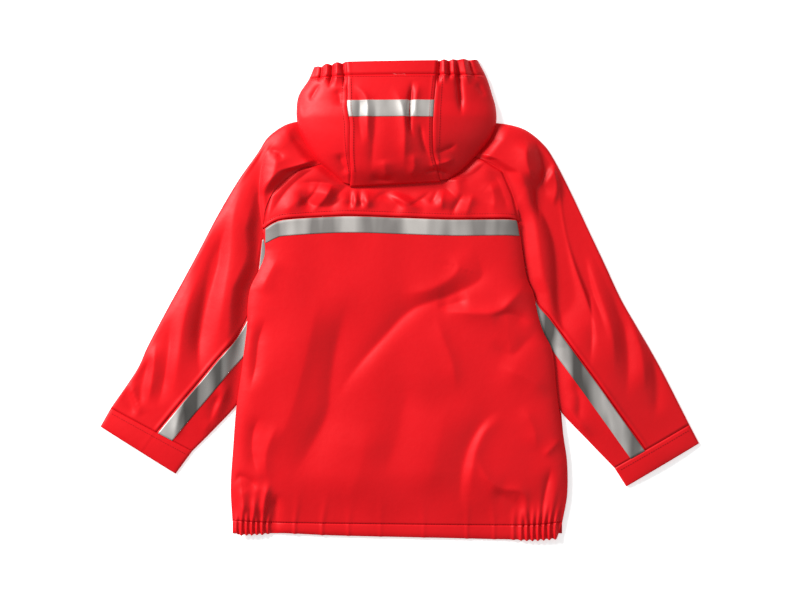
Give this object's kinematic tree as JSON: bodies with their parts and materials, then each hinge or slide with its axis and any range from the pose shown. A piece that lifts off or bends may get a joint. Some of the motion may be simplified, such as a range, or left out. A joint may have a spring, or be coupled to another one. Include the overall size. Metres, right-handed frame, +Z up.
{
  "type": "kids rain jacket",
  "caption": "Child's hooded rain jacket laid flat with its back up, hood folded down over the yoke, raglan sleeves spread, reflective tape on back, hood and sleeves",
  "frame": {"origin": "centre of the jacket's outline, on the surface it lies on", "axes": "+Z up from the surface, +X across the jacket from the wearer's left to the wearer's right, +Y from the hem to the hood"},
  "size_m": [0.748, 0.6001, 0.0362],
  "materials": {
    "coated_cloth": "red polyurethane-coated knit with a soft gloss",
    "reflective_tape": "silver-grey reflective tape, satin",
    "zip_plastic": "red moulded zip on woven tape"
  },
  "bodies": {
    "root": {"back_body": "coated_cloth", "back_yoke": "coated_cloth", "cuff_left": "coated_cloth", "cuff_right": "coated_cloth", "front_left": "coated_cloth", "front_right": "coated_cloth", "front_zip": "zip_plastic", "hem_back": "coated_cloth", "hem_front_left": "coated_cloth", "hem_front_right": "coated_cloth", "hood_casing_left": "coated_cloth", "hood_casing_middle": "coated_cloth", "hood_casing_right": "coated_cloth", "hood_middle": "coated_cloth", "hood_side_left": "coated_cloth", "hood_side_right": "coated_cloth", "sleeve_under_left": "coated_cloth", "sleeve_under_right": "coated_cloth", "sleeve_upper_left": "coated_cloth", "sleeve_upper_right": "coated_cloth", "tape_back": "reflective_tape", "tape_hood": "reflective_tape", "tape_sleeve_left": "reflective_tape", "tape_sleeve_right": "reflective_tape", "zip_slider": "zip_plastic"}
  },
  "joints": []
}
